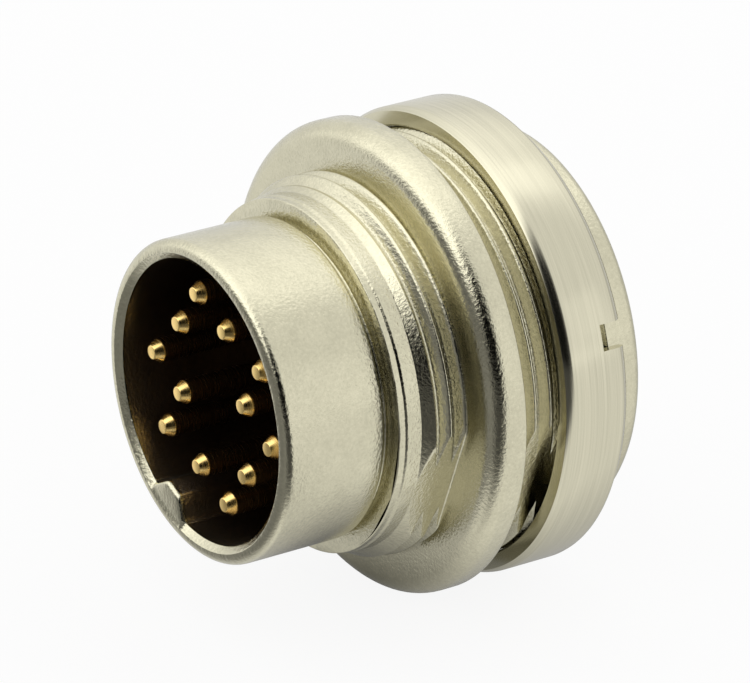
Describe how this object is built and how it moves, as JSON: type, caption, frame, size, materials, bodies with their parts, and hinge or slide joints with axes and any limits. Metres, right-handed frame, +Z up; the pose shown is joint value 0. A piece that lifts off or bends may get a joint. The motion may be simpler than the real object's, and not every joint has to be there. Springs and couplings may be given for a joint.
{
  "type": "panel mount circular connector",
  "caption": "Round metal aviation plug connector for a panel, with a threaded nose, flange, ring nut and gold pins in a keyed bore.",
  "frame": {"origin": "on the connector's axis, in the front face of the flange, where the coupling thread ends", "axes": "+Y along the connector's axis from the mating side to the solder side, +Z up, +X to the right as seen from the mating side"},
  "size_m": [0.0198, 0.0161, 0.0198],
  "materials": {
    "shell": "satin nickel plate on a die casting",
    "ring_nut": "nickel plate over a turned surface",
    "insulator": "black moulded",
    "clip": "spring steel",
    "contact": "polished gold plate"
  },
  "bodies": {
    "connector_body": {"shell": "shell", "pin_insert": "insulator", "retaining_clip": "clip", "contact_01": "contact", "contact_02": "contact", "contact_03": "contact", "contact_04": "contact", "contact_05": "contact", "contact_06": "contact", "contact_07": "contact", "contact_08": "contact", "contact_09": "contact", "contact_10": "contact", "contact_11": "contact", "contact_12": "contact"},
    "nut": {"ring_nut": "ring_nut"}
  },
  "joints": [
    {"name": "ring_nut_travel", "type": "slide", "parent": "connector_body", "child": "nut", "axis": [0, 1, 0], "range_m": [-0.00205, 0.0028]}
  ]
}
